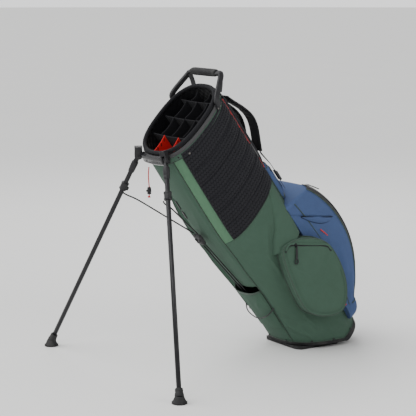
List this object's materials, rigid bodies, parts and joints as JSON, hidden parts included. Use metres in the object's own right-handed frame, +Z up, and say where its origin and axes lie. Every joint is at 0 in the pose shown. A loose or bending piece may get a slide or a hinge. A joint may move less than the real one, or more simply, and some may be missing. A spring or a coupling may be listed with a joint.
{
  "type": "golf stand bag",
  "caption": "Leaning golf bag on two folding tube legs, with divided mouth, zipped pockets, carry straps and a hinged foot plate worked by a push rod.",
  "frame": {"origin": "middle of the underside of the foot plate, which lies flat on the floor", "axes": "+X from the spread legs towards the back of the bag, +Y to the left side of the bag, +Z up"},
  "size_m": [0.9128, 0.821, 0.8988],
  "materials": {
    "green_fabric": "matte woven",
    "blue_fabric": "matte woven",
    "black_mesh": "padded mesh",
    "black_plastic": "semi-gloss",
    "grey_plastic": "satin",
    "rubber": "matte",
    "black_metal": "satin black",
    "lining": "matte",
    "red_fabric": "matte"
  },
  "bodies": {
    "bag_body": {"apparel_pocket": "green_fabric", "back_pad": "black_mesh", "back_panel": "green_fabric", "ball_pocket": "blue_fabric", "base_hinge_pin": "black_metal", "base_tray": "rubber", "cooler_pocket": "blue_fabric", "cord_lock": "black_plastic", "cross_divider_1": "lining", "cross_divider_2": "lining", "cross_divider_3": "lining", "cuff_ring": "grey_plastic", "divider_row1_1": "red_fabric", "divider_row1_2": "red_fabric", "divider_row2_1": "lining", "divider_row2_2": "lining", "divider_row2_3": "lining", "divider_row3_1": "lining", "divider_row3_2": "lining", "divider_row3_3": "lining", "divider_row4_1": "lining", "divider_row4_2": "lining", "drawcord": "red_fabric", "elastic_loop": "lining", "front_base_panel": "green_fabric", "front_panel": "green_fabric", "handle_bracket_left": "black_plastic", "handle_bracket_right": "black_plastic", "handle_grip": "rubber", "hinge_pin_left": "black_metal", "hinge_pin_right": "black_metal", "hinge_socket_left": "black_plastic", "hinge_socket_right": "black_plastic", "quilted_panel_left": "black_mesh", "quilted_panel_right": "black_mesh", "rim_padding": "lining", "rod_sleeve": "green_fabric", "shoulder_strap_left": "lining", "shoulder_strap_right": "lining", "side_panel_left": "green_fabric", "side_panel_right": "green_fabric", "side_pocket": "green_fabric", "stand_bracket": "black_plastic", "strap_buckle": "black_plastic"},
    "leg_left_assembly": {"leg_left": "black_metal", "leg_collar_left": "black_plastic", "foot_left": "rubber"},
    "leg_right_assembly": {"leg_right": "black_metal", "leg_collar_right": "black_plastic", "foot_right": "rubber"},
    "yoke_and_rod": {"yoke": "black_plastic", "push_rod": "black_metal"},
    "strut_left_arm": {"strut_left": "black_metal"},
    "strut_right_arm": {"strut_right": "black_metal"},
    "base_plate": {"foot_plate": "rubber"},
    "side_slider": {"side_zip_slider": "black_metal"},
    "side_pull": {"side_zip_pull": "black_plastic"},
    "back_slider": {"back_zip_slider": "black_metal"},
    "back_pull": {"back_zip_pull": "black_plastic"}
  },
  "joints": [
    {"name": "leg_left_fold", "type": "hinge", "parent": "bag_body", "child": "leg_left_assembly", "pos_m": [-0.56661, 0.079, 0.63974], "axis": [-0.4698, -0.83, -0.3007], "range_deg": [0, 51.29]},
    {"name": "leg_right_fold", "type": "hinge", "parent": "bag_body", "child": "leg_right_assembly", "pos_m": [-0.56661, -0.079, 0.63974], "axis": [0.4698, -0.83, 0.3007], "range_deg": [0, 51.29]},
    {"name": "yoke_slide", "type": "slide", "parent": "bag_body", "child": "yoke_and_rod", "axis": [-0.6843, 0, 0.7292], "range_m": [-0.08814, 0]},
    {"name": "strut_left_swing", "type": "hinge", "parent": "yoke_and_rod", "child": "strut_left_arm", "pos_m": [-0.4117, 0.012, 0.39393], "axis": [0.6204, 0.7337, 0.277], "range_deg": [0, 20.59]},
    {"name": "strut_right_swing", "type": "hinge", "parent": "yoke_and_rod", "child": "strut_right_arm", "pos_m": [-0.4117, -0.012, 0.39393], "axis": [-0.6204, 0.7337, -0.277], "range_deg": [0, 20.59]},
    {"name": "base_tilt", "type": "hinge", "parent": "bag_body", "child": "base_plate", "pos_m": [0.086, 0, 0.0062], "axis": [0, -1, 0], "range_deg": [0, 35.77]},
    {"name": "side_zip_slide", "type": "slide", "parent": "bag_body", "child": "side_slider", "axis": [0.9932, 0, -0.1165], "range_m": [0, 0.12]},
    {"name": "side_zip_pull_swing", "type": "hinge", "parent": "side_slider", "child": "side_pull", "pos_m": [-0.15394, -0.1692, 0.35777], "axis": [0, 1, 0], "range_deg": [-75, 75]},
    {"name": "back_zip_run", "type": "hinge", "parent": "bag_body", "child": "back_slider", "pos_m": [-0.17453, 0, 0.24434], "axis": [0, 1, 0], "range_deg": [0, 54]},
    {"name": "back_zip_pull_swing", "type": "hinge", "parent": "back_slider", "child": "back_pull", "pos_m": [-0.05489, -0.095, 0.53045], "axis": [0, -1, 0], "range_deg": [0, 95]}
  ],
  "couplings": [
    {"joint": "leg_right_fold", "follows": "leg_left_fold", "ratio": 1},
    {"joint": "yoke_slide", "follows": "leg_left_fold", "m_per_rad": -0.098447},
    {"joint": "strut_left_swing", "follows": "leg_left_fold", "ratio": 0.40134},
    {"joint": "strut_right_swing", "follows": "leg_left_fold", "ratio": 0.40134},
    {"joint": "base_tilt", "follows": "leg_left_fold", "ratio": 0.6974}
  ]
}
